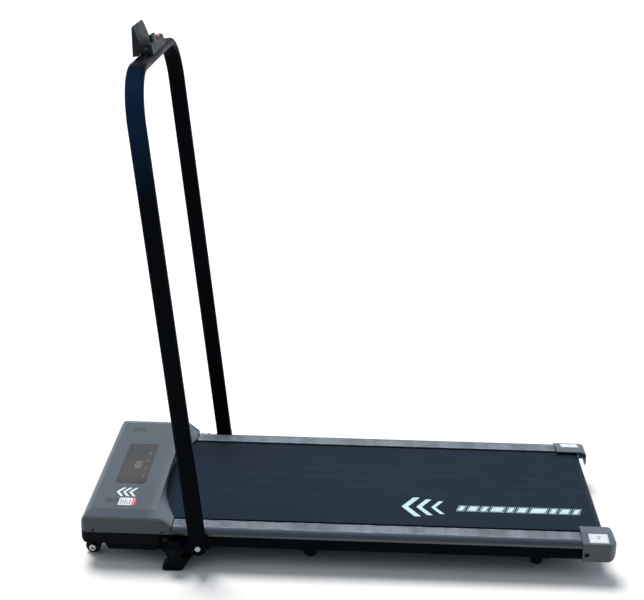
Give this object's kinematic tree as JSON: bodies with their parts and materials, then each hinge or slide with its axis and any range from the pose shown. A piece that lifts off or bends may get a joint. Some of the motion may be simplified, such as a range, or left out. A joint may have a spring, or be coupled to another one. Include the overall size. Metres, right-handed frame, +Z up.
{
  "type": "walking treadmill",
  "caption": "Under-desk walking treadmill: belt deck between foot rails, motor hood with display in front, fold-down U handrail with phone holder.",
  "frame": {"origin": "on the floor, under the middle of the deck", "axes": "+X from the motor hood to the rear end of the deck, +Z up, the walker faces -X"},
  "size_m": [1.256, 0.5944, 1.2402],
  "materials": {
    "frame_black": "satin black powder coat",
    "handrail_black": "fine satin black powder coat",
    "hood_grey": "satin moulded grey ABS",
    "cap_grey": "satin moulded grey ABS",
    "rail_grey": "glossy extruded grey plastic",
    "belt_cloth": "woven-texture PVC running belt",
    "deck_wood": "laminated fibreboard",
    "black_plastic": "moulded black plastic",
    "holder_plastic": "moulded dark grey plastic",
    "black_rubber": "moulded rubber",
    "zinc_steel": "zinc plated",
    "pulley_plastic": "glass-filled nylon",
    "motor_steel": "painted steel can",
    "smoked_window": "smoked polycarbonate, glossy",
    "circuit_green": "solder-masked circuit board",
    "red_plastic": "red moulded plastic"
  },
  "bodies": {
    "base": {"belly_pan": "black_plastic", "bracket_boot_left": "black_plastic", "bracket_boot_right": "black_plastic", "bracket_screws": "zinc_steel", "control_board": "circuit_green", "cross_members": "frame_black", "deck_board": "deck_wood", "deck_cushions": "black_rubber", "deck_screws": "zinc_steel", "display_board": "circuit_green", "display_window": "smoked_window", "drive_belt": "black_rubber", "drive_motor": "motor_steel", "endcap_screws": "zinc_steel", "foot_plates": "frame_black", "foot_rail_left": "rail_grey", "foot_rail_right": "rail_grey", "front_cross_tube": "frame_black", "front_pan": "black_plastic", "hood_screws": "zinc_steel", "mid_foot_left": "black_rubber", "mid_foot_right": "black_rubber", "motor_hood": "hood_grey", "motor_mount": "frame_black", "pivot_bolts": "zinc_steel", "pivot_bracket_left": "frame_black", "pivot_bracket_right": "frame_black", "power_inlet": "black_plastic", "rear_endcap_left": "cap_grey", "rear_endcap_right": "cap_grey", "rear_foot_left": "black_rubber", "rear_foot_right": "black_rubber", "roller_axles": "zinc_steel", "side_frame_left": "frame_black", "side_frame_right": "frame_black", "switch_frame": "black_plastic", "tension_bolts": "zinc_steel", "walking_belt": "belt_cloth", "wheel_bolts": "zinc_steel", "wheel_fork_left": "frame_black", "wheel_fork_right": "frame_black"},
    "handrail": {"handrail_tube": "handrail_black", "pivot_block_left": "handrail_black", "pivot_block_right": "handrail_black", "lock_plate_left": "handrail_black", "lock_plate_right": "handrail_black", "phone_rest": "holder_plastic", "phone_tray": "holder_plastic"},
    "safety_key": {"safety_key": "red_plastic"},
    "lock_knob_left": {"lock_knob_left": "black_plastic"},
    "lock_knob_right": {"lock_knob_right": "black_plastic"},
    "front_roller": {"front_roller": "zinc_steel", "front_roller_bearings": "zinc_steel", "roller_pulley": "pulley_plastic"},
    "rear_roller": {"rear_roller": "zinc_steel", "rear_roller_bearings": "zinc_steel"},
    "motor_rotor": {"motor_pulley": "motor_steel"},
    "wheel_left": {"transport_wheel_left": "black_rubber"},
    "wheel_right": {"transport_wheel_right": "black_rubber"},
    "power_switch": {"power_switch": "red_plastic"}
  },
  "joints": [
    {"name": "handrail_fold", "type": "hinge", "parent": "base", "child": "handrail", "pos_m": [-0.3455, 0, 0.0709], "axis": [0, 1, 0], "range_deg": [0, 96.4]},
    {"name": "lock_knob_left_turn", "type": "hinge", "parent": "base", "child": "lock_knob_left", "pos_m": [-0.4, -0.285, 0.062], "axis": [0, -1, 0], "continuous": true},
    {"name": "lock_knob_right_turn", "type": "hinge", "parent": "base", "child": "lock_knob_right", "pos_m": [-0.4, 0.285, 0.062], "axis": [0, 1, 0], "continuous": true},
    {"name": "front_roller_spin", "type": "hinge", "parent": "base", "child": "front_roller", "pos_m": [-0.475, 0, 0.0769], "axis": [0, 1, 0], "continuous": true},
    {"name": "rear_roller_spin", "type": "hinge", "parent": "base", "child": "rear_roller", "pos_m": [0.5872, 0, 0.0769], "axis": [0, 1, 0], "continuous": true},
    {"name": "motor_spin", "type": "hinge", "parent": "base", "child": "motor_rotor", "pos_m": [-0.541, 0.2, 0.0883], "axis": [0, 1, 0], "continuous": true},
    {"name": "wheel_left_spin", "type": "hinge", "parent": "base", "child": "wheel_left", "pos_m": [-0.6095, -0.2, 0.0185], "axis": [0, 1, 0], "continuous": true},
    {"name": "wheel_right_spin", "type": "hinge", "parent": "base", "child": "wheel_right", "pos_m": [-0.6095, 0.2, 0.0185], "axis": [0, 1, 0], "continuous": true},
    {"name": "power_switch_rock", "type": "hinge", "parent": "base", "child": "power_switch", "pos_m": [-0.619, 0.106, 0.074], "axis": [0, 0, 1], "range_deg": [0, 16]},
    {"name": "safety_key_pull", "type": "slide", "parent": "handrail", "child": "safety_key", "axis": [-0.1122, 0, 0.9937], "range_m": [0, 0.012]}
  ],
  "couplings": [
    {"joint": "rear_roller_spin", "follows": "front_roller_spin", "ratio": 1},
    {"joint": "motor_spin", "follows": "front_roller_spin", "ratio": 2}
  ]
}
